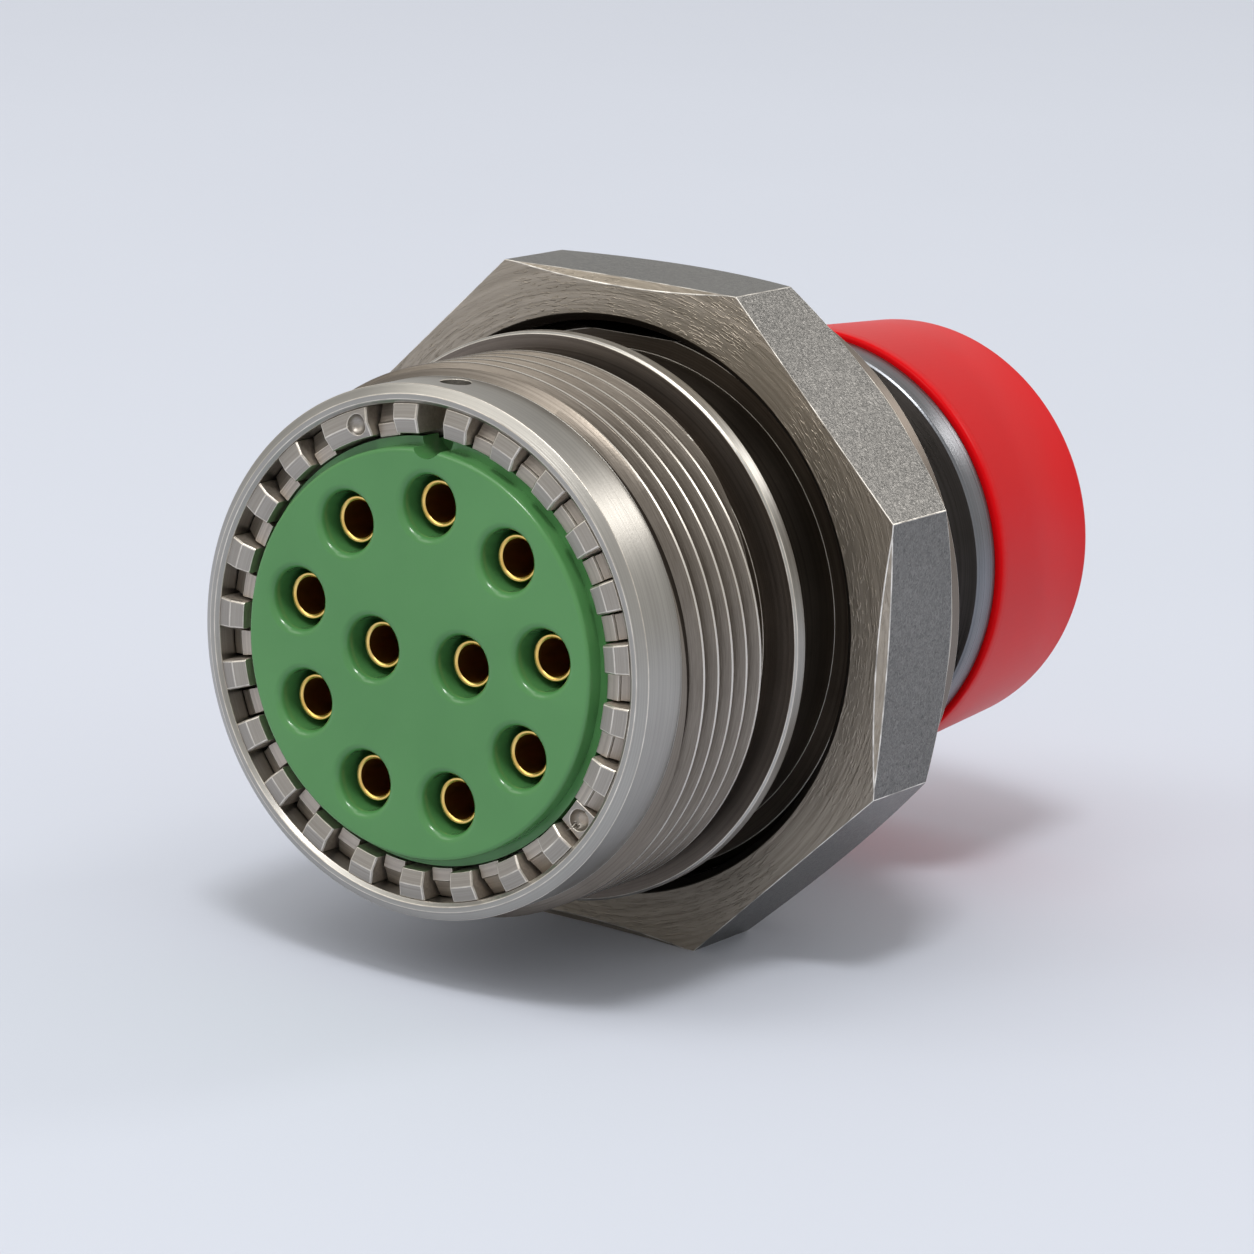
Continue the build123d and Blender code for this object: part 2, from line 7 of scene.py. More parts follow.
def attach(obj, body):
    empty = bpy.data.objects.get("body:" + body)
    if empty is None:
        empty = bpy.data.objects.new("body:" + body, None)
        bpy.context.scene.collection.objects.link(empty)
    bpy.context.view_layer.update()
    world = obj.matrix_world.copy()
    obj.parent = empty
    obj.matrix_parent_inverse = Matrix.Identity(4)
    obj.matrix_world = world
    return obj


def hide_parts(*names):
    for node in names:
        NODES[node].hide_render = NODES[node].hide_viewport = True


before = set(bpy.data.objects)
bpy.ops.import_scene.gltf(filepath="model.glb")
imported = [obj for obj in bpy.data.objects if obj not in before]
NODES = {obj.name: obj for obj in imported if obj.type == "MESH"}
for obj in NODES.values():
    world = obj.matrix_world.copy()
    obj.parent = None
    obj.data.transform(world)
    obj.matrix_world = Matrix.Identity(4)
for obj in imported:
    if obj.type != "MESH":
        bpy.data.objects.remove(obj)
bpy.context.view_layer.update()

# Studio
# Pale blue-grey paper under two overhead softboxes, with a key behind on the right and a weak
# fill on the front left; the camera stands where the photographer's did.
MM = 0.001
FLOOR_Z = -21.45 * MM
PAPER_HALF = 4.0
AZIMUTH = math.radians(32.96)
ELEVATION = math.radians(13.0)
ROLL = math.radians(3.46)
CAMERA_PLACE = (173.43 * MM, -273.36 * MM, 71.60 * MM)
LENS_MM = 143.7
LIGHTS_AIM = Vector((0, -5 * MM, 0))


def colour(code):
    """sRGB hex such as d6dbe4 to linear red, green, blue and full alpha."""
    out = []
    for k in (0, 2, 4):
        v = int(code[k:k + 2], 16) / 255
        out.append(v / 12.92 if v <= 0.04045 else ((v + 0.055) / 1.055) ** 2.4)
    return (*out, 1.0)


def scale_for(size_mm):
    """Noise scale that makes patches about this many millimetres across."""
    return 1 / (size_mm * MM)


def add(tree, kind, settings=None, **links):
    """New node with its settings; links are socket names or numbers to values or sockets."""
    node = tree.nodes.new("ShaderNode" + kind)
    for key, value in (settings or {}).items():
        setattr(node, key, value)
    for key, value in links.items():
        socket = node.inputs[int(key[1:])] if key[1:].isdigit() else node.inputs[key.replace("_", " ")]
        if isinstance(value, bpy.types.NodeSocket):
            tree.links.new(value, socket)
        else:
            socket.default_value = value
    return node


def new_material(name):
    """Empty material and its node tree."""
    material = bpy.data.materials.new(name)
    material.use_nodes = True
    tree = material.node_tree
    tree.nodes.clear()
    return material, tree


def finish_with(tree, shader):
    """Shader to the material's surface."""
    out = tree.nodes.new("ShaderNodeOutputMaterial")
    tree.links.new(shader.outputs[0], out.inputs["Surface"])


def sweep_paper():
    """Matt studio paper: the eye sees an even pale ground with a faint, slow mottle."""
    material, tree = new_material("studio_paper_matt")
    where = add(tree, "TexCoord").outputs["Object"]
    mottle = add(tree, "TexNoise", Vector=where, Scale=scale_for(111.1), Detail=3.0)
    tone = add(tree, "ValToRGB", Fac=mottle.outputs[0])
    tone.color_ramp.elements[0].color = colour("c9ceda")
    tone.color_ramp.elements[1].color = colour("cdd2de")
    finish_with(tree, add(tree, "BsdfPrincipled", Base_Color=tone.outputs[0], Roughness=0.85))
    return material


sweep = bmesh.new()
bmesh.ops.create_grid(sweep, x_segments=1, y_segments=1, size=PAPER_HALF)
bmesh.ops.translate(sweep, verts=sweep.verts, vec=(0, 0, FLOOR_Z))
sweep_mesh = bpy.data.meshes.new("studio_sweep")
sweep.to_mesh(sweep_mesh)
sweep.free()
sweep_mesh.materials.append(sweep_paper())
floor = bpy.data.objects.new("studio_sweep", sweep_mesh)
bpy.context.scene.collection.objects.link(floor)

toward = Vector((math.sin(AZIMUTH) * math.cos(ELEVATION), -math.cos(AZIMUTH) * math.cos(ELEVATION),
                 math.sin(ELEVATION)))
level = Vector((math.cos(AZIMUTH), math.sin(AZIMUTH), 0))
upright = toward.cross(level)
right = level * math.cos(ROLL) + upright * math.sin(ROLL)
up = upright * math.cos(ROLL) - level * math.sin(ROLL)
lens = bpy.data.cameras.new("photo_camera")
lens.lens = LENS_MM
lens.sensor_width = 36
lens.clip_start = 0.01
lens.clip_end = 20
camera = bpy.data.objects.new("photo_camera", lens)
turn = Matrix((right, up, toward)).transposed()
camera.matrix_world = Matrix.Translation(CAMERA_PLACE) @ turn.to_4x4()
bpy.context.scene.collection.objects.link(camera)
bpy.context.scene.camera = camera


def softbox(name, place, size, power, code):
    """Rectangular area light, place and size in metres, aimed at the nut."""
    light = bpy.data.lights.new(name, "AREA")
    light.shape = "RECTANGLE"
    light.size, light.size_y = size
    light.energy = power
    light.color = colour(code)[:3]
    box = bpy.data.objects.new(name, light)
    box.location = place
    box.rotation_euler = (Vector(place) - LIGHTS_AIM).to_track_quat("Z", "Y").to_euler()
    bpy.context.scene.collection.objects.link(box)


softbox("key_behind_right", (0.70, 1.55, 1.08), (0.46, 0.36), 4.6, "fffcf8")
softbox("overhead", (-0.05, -0.70, 1.75), (1.15, 1.15), 7.4, "fffefb")
softbox("overhead_core", (0.38, -0.70, 1.70), (0.36, 0.36), 11.5, "ffffff")
softbox("front_left", (-1.00, -1.15, 1.25), (0.90, 0.90), 4.5, "fffdf8")

world = bpy.data.worlds.new("studio_air")
world.use_nodes = True
air = world.node_tree
air.nodes.clear()
glow = add(air, "Background", Color=colour("f5f4f1"), Strength=0.70)
air_out = air.nodes.new("ShaderNodeOutputWorld")
air.links.new(glow.outputs[0], air_out.inputs[0])
bpy.context.scene.world = world
bpy.context.scene.view_settings.view_transform = "Standard"

# Shell
# One stainless steel bar turned all over: smooth pilot, grooves, stop ring, panel barrel with
# one flat, flange with the O-ring's groove, and hub; a drilled mark on top shows the main keyway.
# Radii and stations are in millimetres, a station being the distance behind the shell's mouth.
PILOT_R = 16.76
PILOT_END = 4.05
FACE_R = PILOT_R - 0.60
FACE_CHAMFER = 0.45
RING_BORE_R = PILOT_R - 1.19
RING_BORE_END = 5.6
MOUTH_BEVEL = 0.25
CREST_R = 17.46
ROOT_R = 16.74
THREAD_FROM = 4.3
THREAD_TO = 12.7
GROOVE_A_R = ROOT_R - 0.79
GROOVE_B_R = ROOT_R - 0.14
STOP_R = 18.40
STOP_FRONT = 14.55
STOP_REAR = 15.70
STOP_EDGE = 0.14
BARREL_R = 18.45
BARREL_FRONT = 22.0
BARREL_CHAMFER = 0.60
BARREL_FLAT = BARREL_R - 0.85
RELIEF_R = BARREL_R - 0.55
RELIEF_FRONT = 28.55
SEAT = 29.35
ORING_R = BARREL_R + 1.50
ORING_GROOVE_HALF = 0.60
ORING_GROOVE_END = 30.12
FLANGE_R = 20.90
FLANGE_RIM_END = SEAT + 0.95
HUB_R = 16.50
HUB_FRONT = 32.60
HUB_END = 34.20
SLEEVE_BORE_R = 14.80
SLEEVE_SEAT = 31.40
SNAP_GROOVE_R = 14.73
SNAP_FRONT = 27.40
SNAP_REAR = 28.30
COLLAR_BORE_R = 13.98
COLLAR_SEAT = 9.0
INSERT_BORE_R = 13.16
FINGER_SEAT = 6.0
FINGER_BORE_R = 13.64
MARK_STATION = 2.6
MARK_R = 0.97
MARK_DEPTH = 0.85
DRILL_LEN = 4.0
FLAT_TOOL_WIDE = 50.0
FLAT_TOOL_HIGH = 3.0
NEAR = 0.01
ROUND_STEPS = 256


def turned(outline, steps=192):
    """bmesh of an outline of (radius, station) in millimetres spun about the connector axis."""
    mesh = bmesh.new()
    points = [mesh.verts.new((r * MM, (s - SEAT) * MM, 0)) for r, s in outline]
    pairs = list(zip(points, points[1:]))
    if outline[0][0] > 0 or outline[-1][0] > 0:
        pairs.append((points[-1], points[0]))
    edges = [mesh.edges.new(pair) for pair in pairs]
    bmesh.ops.spin(mesh, geom=points + edges, cent=(0, 0, 0), axis=(0, 1, 0), dvec=(0, 0, 0),
                   angle=math.tau, steps=steps, use_merge=True)
    bmesh.ops.remove_doubles(mesh, verts=mesh.verts, dist=1e-7)
    bmesh.ops.recalc_face_normals(mesh, faces=mesh.faces)
    return mesh


def rod(radius_mm, length_mm, segments):
    """bmesh of a round or many-sided bar along Z, centred on the origin."""
    mesh = bmesh.new()
    bmesh.ops.create_cone(mesh, cap_ends=True, segments=segments, radius1=radius_mm * MM,
                          radius2=radius_mm * MM, depth=length_mm * MM)
    return mesh


def cut_with(thing, mode, tool):
    """One exact boolean of a bmesh tool, written into the object's mesh."""
    cut_data = bpy.data.meshes.new(thing.name + "_cut")
    tool.to_mesh(cut_data)
    tool.free()
    cutter = bpy.data.objects.new(thing.name + "_cut", cut_data)
    bpy.context.scene.collection.objects.link(cutter)
    step = thing.modifiers.new("cut", "BOOLEAN")
    step.operation = mode
    step.solver = "EXACT"
    step.object = cutter
    bpy.context.view_layer.update()
    cut = bpy.data.meshes.new_from_object(thing.evaluated_get(bpy.context.evaluated_depsgraph_get()))
    thing.modifiers.clear()
    thing.data = cut
    cut.name = thing.name
    bpy.data.objects.remove(cutter)
    bpy.data.meshes.remove(cut_data)


def piece(name, mesh, materials, slot, body, *nodes, bevel_mm=0.0, cutters=(), sharp=25, bright=-1):
    """Object from a bmesh, cut, with broken edges, riding on a body in place of CAD nodes.

    sharp is the smallest angle in degrees that counts as an edge; bright is the number of the
    material that the broken edges take, or -1 where they keep that of the faces beside them.
    """
    data = bpy.data.meshes.new(name)
    mesh.to_mesh(data)
    mesh.free()
    thing = bpy.data.objects.new(name, data)
    bpy.context.scene.collection.objects.link(thing)
    for mode, tool in cutters:
        cut_with(thing, mode, tool)
    data = thing.data
    data.materials.clear()
    for material in materials:
        data.materials.append(material)
    data.shade_smooth()
    data.set_sharp_from_angle(angle=math.radians(sharp))
    if bevel_mm:
        edge = thing.modifiers.new("broken_edges", "BEVEL")
        edge.width = bevel_mm * MM
        edge.segments = 2
        edge.limit_method = "ANGLE"
        edge.angle_limit = math.radians(sharp)
        edge.harden_normals = True
        edge.material = bright
        edge.use_clamp_overlap = bright < 0
    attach(thing, body)
    if nodes:
        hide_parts(*nodes)
    return thing


def round_the_axis(tree, wide_mm, long_mm, reach_mm):
    """Coordinates in which a noise of scale 1 makes marks that run round the axis."""
    where = add(tree, "TexCoord").outputs["Object"]
    flat = add(tree, "VectorMath", {"operation": "MULTIPLY"}, i0=where, i1=(1, 0, 1))
    radius = add(tree, "VectorMath", {"operation": "LENGTH"}, i0=flat.outputs[0])
    way = add(tree, "VectorMath", {"operation": "NORMALIZE"}, i0=flat.outputs[0])
    along = add(tree, "VectorMath", {"operation": "SCALE"}, i0=way.outputs[0], Scale=reach_mm / long_mm)
    across = add(tree, "CombineXYZ", X=add(tree, "SeparateXYZ", Vector=where).outputs["Y"],
                 Y=radius.outputs["Value"])
    across = add(tree, "VectorMath", {"operation": "SCALE"}, i0=across.outputs[0],
                 Scale=scale_for(wide_mm))
    both = add(tree, "VectorMath", {"operation": "ADD"}, i0=along.outputs[0], i1=across.outputs[0])
    return both.outputs[0]


def turned_steel(name, dark, light, roughness, mark_mm, mark_depth, speck=0.3, long_mm=40.0,
                 edge_mm=0.05):
    """Lathe-turned stainless steel: fine rings round the axis, a cloudy tone and small specks.

    Tool marks and grit are drawn some times coarser than real ones, which wouldn't show.
    """
    material, tree = new_material(name)
    where = add(tree, "TexCoord").outputs["Object"]
    rings = round_the_axis(tree, mark_mm, long_mm, 18.0)
    marks = add(tree, "TexNoise", Vector=rings, Scale=1.0, Detail=3.0, Roughness=0.6)
    cloud = add(tree, "TexNoise", Vector=where, Scale=scale_for(7.14), Detail=4.0)
    grit = add(tree, "TexNoise", Vector=where, Scale=scale_for(0.1923), Detail=2.0)
    blend = add(tree, "Mix", {"data_type": "FLOAT"}, Factor=0.35, i2=marks.outputs[0], i3=cloud.outputs[0])
    tone = add(tree, "ValToRGB", Fac=blend.outputs[0])
    tone.color_ramp.elements[0].position = 0.35
    tone.color_ramp.elements[1].position = 0.68
    tone.color_ramp.elements[0].color = colour(dark)
    tone.color_ramp.elements[1].color = colour(light)
    rough = add(tree, "MapRange", Value=blend.outputs[0], From_Min=0.3, From_Max=0.7,
                To_Min=roughness - 0.05, To_Max=roughness + 0.07)
    edge = add(tree, "Bevel", {"samples": 4}, Radius=edge_mm * MM)
    lines = add(tree, "Bump", Strength=mark_depth, Distance=0.03 * MM, Height=marks.outputs[0],
                Normal=edge.outputs[0])
    specks = add(tree, "Bump", Strength=speck, Distance=0.02 * MM, Height=grit.outputs[0],
                 Normal=lines.outputs[0])
    finish_with(tree, add(tree, "BsdfPrincipled", Base_Color=tone.outputs[0], Metallic=1.0,
                          Roughness=rough.outputs[0], Normal=specks.outputs[0]))
    return material


# Finely turned pilot: a satin grey with a broad soft highlight.
pilot_steel = turned_steel("stainless_fine_turned", "9d9a95", "b3b0aa", 0.34, 0.10, 0.3, 0.15, edge_mm=0.06)
# Thread root: painted shade, dark brown-grey lines between the ridges.
root_shade_steel = turned_steel("stainless_thread_root_painted_shade", "3b352f", "544c45", 0.45, 0.08, 0.3, 0.3)
# Grooves, barrel and bores: painted shade, dark and dull, so that the gap before the nut reads as depth.
barrel_shade_steel = turned_steel("stainless_barrel_painted_shade", "544c44", "6f665c", 0.42, 0.12, 0.4, 0.4)
# Stop ring's front face and the flange: warm mid grey.
ring_face_steel = turned_steel("stainless_ring_face_turned", "716860", "8b8178", 0.40, 0.10, 0.4, 0.3)
# Stop ring's rim, rubbed by the plug: one light line round the shell.
ring_rim_steel = turned_steel("stainless_ring_rim_polished", "9a9894", "bebbb6", 0.32, 0.10, 0.3, 0.2)
# Edges: thin, broken light lines, partly worn bright by handling and partly painted highlight.
worn_highlit_edge = turned_steel("stainless_edge_worn_painted_highlight", "bfb8ae", "eee8de", 0.38, 0.60, 0.1, 0.5,
                         long_mm=1.5, edge_mm=0.02)

shell_front = [
    (RING_BORE_R, RING_BORE_END), (RING_BORE_R, MOUTH_BEVEL), (RING_BORE_R + MOUTH_BEVEL, 0),
    (FACE_R, 0), (PILOT_R, FACE_CHAMFER), (PILOT_R, PILOT_END), (ROOT_R, PILOT_END),
    (ROOT_R, THREAD_TO), (GROOVE_A_R, THREAD_TO), (GROOVE_A_R, STOP_FRONT)]
stop_ring = [
    (STOP_R - STOP_EDGE, STOP_FRONT), (STOP_R, STOP_FRONT + STOP_EDGE), (STOP_R, STOP_REAR - STOP_EDGE),
    (STOP_R - STOP_EDGE, STOP_REAR), (GROOVE_B_R, STOP_REAR)]
panel_barrel = [
    (GROOVE_B_R, BARREL_FRONT), (BARREL_R - BARREL_CHAMFER, BARREL_FRONT),
    (BARREL_R, BARREL_FRONT + BARREL_CHAMFER), (BARREL_R, RELIEF_FRONT), (RELIEF_R, RELIEF_FRONT),
    (RELIEF_R, SEAT)]
flange_and_hub = [
    (ORING_R - ORING_GROOVE_HALF, SEAT), (ORING_R - ORING_GROOVE_HALF, ORING_GROOVE_END),
    (ORING_R + ORING_GROOVE_HALF, ORING_GROOVE_END), (ORING_R + ORING_GROOVE_HALF, SEAT),
    (FLANGE_R, SEAT), (FLANGE_R, FLANGE_RIM_END), (HUB_R, HUB_FRONT), (HUB_R, HUB_END),
    (SLEEVE_BORE_R, HUB_END), (SLEEVE_BORE_R, SLEEVE_SEAT)]
shell_bore = [
    (COLLAR_BORE_R, SLEEVE_SEAT), (COLLAR_BORE_R, SNAP_REAR), (SNAP_GROOVE_R, SNAP_REAR),
    (SNAP_GROOVE_R, SNAP_FRONT), (COLLAR_BORE_R, SNAP_FRONT), (COLLAR_BORE_R, COLLAR_SEAT),
    (INSERT_BORE_R, COLLAR_SEAT), (INSERT_BORE_R, FINGER_SEAT), (FINGER_BORE_R, FINGER_SEAT),
    (FINGER_BORE_R, RING_BORE_END)]
drill = rod(MARK_R, DRILL_LEN, 48)
bmesh.ops.translate(drill, verts=drill.verts,
                    vec=(0, (MARK_STATION - SEAT) * MM, (PILOT_R - MARK_DEPTH + DRILL_LEN / 2) * MM))
flat_len = SEAT - BARREL_FRONT
flat_tool = bmesh.new()
bmesh.ops.create_cube(flat_tool, size=1.0)
bmesh.ops.scale(flat_tool, verts=flat_tool.verts,
                vec=(FLAT_TOOL_WIDE * MM, flat_len * MM, FLAT_TOOL_HIGH * MM))
bmesh.ops.translate(flat_tool, verts=flat_tool.verts,
                    vec=(0, -flat_len / 2 * MM, (BARREL_FLAT + FLAT_TOOL_HIGH / 2) * MM))
# The shell's broken edges take the near-white edge steel: partly wear, partly painted highlight.
shell = piece("shell_turned",
              turned(shell_front + stop_ring + panel_barrel + flange_and_hub + shell_bore, ROUND_STEPS),
              [pilot_steel, root_shade_steel, barrel_shade_steel, ring_face_steel, worn_highlit_edge, ring_rim_steel],
              "stainless_turned", "shell_body", "shell",
              bevel_mm=0.04, bright=4, cutters=[("DIFFERENCE", drill), ("DIFFERENCE", flat_tool)])
for face in shell.data.polygons:
    station = face.center.y / MM + SEAT
    across = math.hypot(face.center.x, face.center.z) / MM
    # Thread root between the ridges: the root steel's painted shade.
    if PILOT_END + NEAR < station < THREAD_TO - NEAR and across > RING_BORE_R + NEAR:
        face.material_index = 1
    elif abs(station - STOP_FRONT) < NEAR:
        face.material_index = 3
    elif STOP_FRONT < station < STOP_REAR and across > STOP_R - STOP_EDGE:
        face.material_index = 5
    elif station > RELIEF_FRONT - NEAR and across > RELIEF_R:
        face.material_index = 3
    # Grooves, barrel front and bores behind the thread: painted shade.
    elif station > THREAD_TO - NEAR and across < STOP_R - STOP_EDGE:
        face.material_index = 2

# Mating thread
# Three ridges cut by a single-point tool, each a third of a turn from the next;
# their narrow crests are near-white, partly polish from use and partly painted highlight.
CREST_PITCH = 1.6
STARTS = 3
LEAD = CREST_PITCH * STARTS
RUN_OUT = 0.9
RIDGE_SINK = 0.12
RIDGE_FOOT_HALF = 0.61
CREST_HALF = 0.20
CREST_FLAT_HALF = 0.10
CREST_ROUND = 0.04
TURN_STEPS = 420
ENVELOPE_R = 17.8
# Flanks: mid grey, a little lighter than the root.
thread_steel = turned_steel("stainless_thread_cut", "746c63", "918980", 0.36, 0.08, 0.3, 0.3, edge_mm=0.04)
# Crests: near-white lines that show the thread's lead, partly wear and partly painted highlight.
crest_highlight_steel = turned_steel("stainless_thread_crest_painted_highlight", "d6d1c9", "eae5dd", 0.36, 0.10, 0.2, 0.2, edge_mm=0.03)


def turn_about(mesh, verts, angle, axis):
    """Vertices turned about one of the frame's axes, by an angle in radians."""
    bmesh.ops.rotate(mesh, verts=verts, cent=(0, 0, 0), matrix=Matrix.Rotation(angle, 3, axis))


section = [
    (ROOT_R - RIDGE_SINK, -RIDGE_FOOT_HALF), (CREST_R - CREST_ROUND, -CREST_HALF),
    (CREST_R, -CREST_FLAT_HALF), (CREST_R, CREST_FLAT_HALF), (CREST_R - CREST_ROUND, CREST_HALF),
    (ROOT_R - RIDGE_SINK, RIDGE_FOOT_HALF)]
thread = bmesh.new()
turns = (THREAD_TO - THREAD_FROM + 2 * RUN_OUT) / LEAD
for start in range(STARTS):
    profile = [thread.verts.new((0, (THREAD_FROM - RUN_OUT + s - SEAT) * MM, r * MM)) for r, s in section]
    face = thread.faces.new(profile)
    turn_about(thread, profile, math.tau * (start / STARTS - RUN_OUT / LEAD), "Y")
    bmesh.ops.spin(thread, geom=[face] + list(face.edges) + profile, cent=(0, 0, 0), axis=(0, 1, 0),
                   dvec=(0, LEAD * turns / TURN_STEPS * MM, 0), angle=math.tau * turns, steps=TURN_STEPS)
bmesh.ops.recalc_face_normals(thread, faces=thread.faces)
envelope = turned([(0, PILOT_END), (ROOT_R, PILOT_END), (ENVELOPE_R, PILOT_END + ENVELOPE_R - ROOT_R),
                   (ENVELOPE_R, THREAD_TO), (0, THREAD_TO)], ROUND_STEPS)
ridges = piece("mating_thread", thread, [thread_steel, crest_highlight_steel], "stainless_turned", "shell_body",
               sharp=20, cutters=[("INTERSECT", envelope)])
# Crest faces take the near-white painted highlight.
for face in ridges.data.polygons:
    if math.hypot(face.center.x, face.center.z) / MM > CREST_R - CREST_ROUND / 2:
        face.material_index = 1

# Castellated ring
# Milled stainless ring pressed into the shell's mouth, every tooth with a roofed front;
# its broken edges are the bright lines round each tooth, partly wear and partly painted highlight.
# Faces deeper than this behind the mouth take painted fill light.
PAINTED_FILL_DEPTH = 1.4


def merged(name):
    """A CAD solid's triangles joined into whole faces, for broken edges on a copy."""
    mesh = bmesh.new()
    mesh.from_mesh(NODES[name].data)
    mesh.transform(NODES[name].matrix_world)
    bmesh.ops.remove_doubles(mesh, verts=mesh.verts, dist=2e-7)
    bmesh.ops.dissolve_limit(mesh, angle_limit=math.radians(0.5), verts=mesh.verts, edges=mesh.edges)
    bmesh.ops.recalc_face_normals(mesh, faces=mesh.faces)
    return mesh


# Milled tooth fronts: satin warm grey.
milled_steel = turned_steel("stainless_milled", "9a948d", "b3ada5", 0.42, 0.12, 0.3, 0.4, edge_mm=0.03)
# Walls and floors of the gaps: painted fill light, lighter and duller, so that the deep gaps don't go
# black.
gap_fill_steel = turned_steel("stainless_gap_walls_painted_fill", "b9aea2", "d6ccc1", 0.55, 0.20, 0.5, 0.5, edge_mm=0.03)
teeth = piece("castellated_ring_milled", merged("castellated_ring"), [milled_steel, worn_highlit_edge, gap_fill_steel],
              "stainless_milled", "shell_body", "castellated_ring", bevel_mm=0.05, sharp=20, bright=1)
# Deep faces of the gaps: painted fill light.
for face in teeth.data.polygons:
    if face.center.y / MM + SEAT > PAINTED_FILL_DEPTH:
        face.material_index = 2

# Ground finger ring
# Blanked and formed nickel-plated spring metal; one finger stands back in each gap,
# with a formed shoulder from its tip to the shell's wall.
FINGER_TIP = 0.85
SHOULDER = [(14.38, 0.98), (15.50, 1.65), (15.50, 1.90), (14.38, 1.22)]
SHOULDER_HALF = math.radians(3.1)
SAME_FINGER = math.radians(8.0)
# Nickel plate on a formed strip: pale, soft and slightly warm.
finger_metal = turned_steel("nickel_plated_spring", "a39a91", "cac1b7", 0.48, 0.15, 0.4, 0.6, edge_mm=0.03)
fingers = merged("ground_finger_ring")
tips = sorted(math.atan2(v.co.x, v.co.z) % math.tau for v in fingers.verts
              if v.co.y / MM + SEAT < FINGER_TIP + NEAR)
groups = []
for angle in tips:
    if groups and angle - groups[-1][0] < SAME_FINGER:
        groups[-1].append(angle)
    else:
        groups.append([angle])
for group in groups:
    turn = Matrix.Rotation((group[0] + group[-1]) / 2 - SHOULDER_HALF, 3, "Y")
    corners = [fingers.verts.new(turn @ Vector((0, (s - SEAT) * MM, r * MM))) for r, s in SHOULDER]
    face = fingers.faces.new(corners)
    bmesh.ops.spin(fingers, geom=[face] + list(face.edges) + corners, cent=(0, 0, 0), axis=(0, 1, 0),
                   dvec=(0, 0, 0), angle=2 * SHOULDER_HALF, steps=3)
bmesh.ops.recalc_face_normals(fingers, faces=fingers.faces)
# The fingers' broken edges take the same near-white painted highlight, partly wear.
piece("ground_finger_ring_formed", fingers, [finger_metal, worn_highlit_edge], "nickel_spring", "shell_body",
      "ground_finger_ring", bevel_mm=0.03, sharp=20, bright=1)

# Front insert
# Moulded green thermoplastic with eleven funnel-mouthed cavities and one key notch;
# the satin mould face has a faint pebble and softly rounded edges.
RING_CONTACTS = 9
CONTACT_CIRCLE_R = 9.40
CONTACT_CLOCK = math.radians(2.0)
INNER_CONTACT_X = 3.384
INNER_CONTACT_Z = -0.15
FACE_STATION = -0.25
INSERT_FACE_R = 12.89
INSERT_EDGE = 0.30
LEDGE_R = 13.44
LEDGE_FRONT = 1.05
LEDGE_REAR = 2.70
INSERT_R = 13.12
SEAL_IN_R = 12.30
SEAL_FRONT = 6.60
SEAL_REAR = 8.20
INSERT_COLLAR_R = 13.94
INSERT_COLLAR_END = 11.5
CAVITY_R = 1.94
CAVITY_FLARE = 0.50
CAVITY_END = 5.0
CONTACT_HOLE_R = 1.49
MOUTH_SIDE = 0.11
MOUTH_TOOL_FRONT = -1.5
HOLE_TOOL_END = 12.0
NOTCH_R = 1.15
NOTCH_CENTRE_R = 13.45
NOTCH_DEPTH = 3.0
NOTCH_TOOL_LEN = 4.0
clock = [CONTACT_CLOCK + math.tau * k / RING_CONTACTS for k in range(RING_CONTACTS)]
contact_places = [(CONTACT_CIRCLE_R * math.sin(a), CONTACT_CIRCLE_R * math.cos(a)) for a in clock]
contact_places += [(-INNER_CONTACT_X, INNER_CONTACT_Z), (INNER_CONTACT_X, INNER_CONTACT_Z)]


def arc(centre_r, centre_s, radius, first, last, count=6):
    """Points of an arc in an outline, angles in degrees from outward toward the rear."""
    out = []
    for k in range(count + 1):
        a = math.radians(first + (last - first) * k / count)
        out.append((centre_r + radius * math.cos(a), centre_s + radius * math.sin(a)))
    return out


def moulded(name, dark, light, roughness, pebble, ior=1.5):
    """Moulded plastic or rubber: a fine pebble from the mould and a slow change of tone.

    The pebble is drawn several times coarser than a real one, which wouldn't show.
    """
    material, tree = new_material(name)
    where = add(tree, "TexCoord").outputs["Object"]
    slow = add(tree, "TexNoise", Vector=where, Scale=scale_for(11.11), Detail=3.0)
    tone = add(tree, "ValToRGB", Fac=slow.outputs[0])
    tone.color_ramp.elements[0].position = 0.3
    tone.color_ramp.elements[1].position = 0.7
    tone.color_ramp.elements[0].color = colour(dark)
    tone.color_ramp.elements[1].color = colour(light)
    fine = add(tree, "TexNoise", Vector=where, Scale=scale_for(0.2381), Detail=3.0)
    rough = add(tree, "MapRange", Value=slow.outputs[0], To_Min=roughness - 0.05, To_Max=roughness + 0.05)
    relief = add(tree, "Bump", Strength=pebble, Distance=0.02 * MM, Height=fine.outputs[0])
    finish_with(tree, add(tree, "BsdfPrincipled", Base_Color=tone.outputs[0], Roughness=rough.outputs[0],
                          Normal=relief.outputs[0], IOR=ior))
    return material


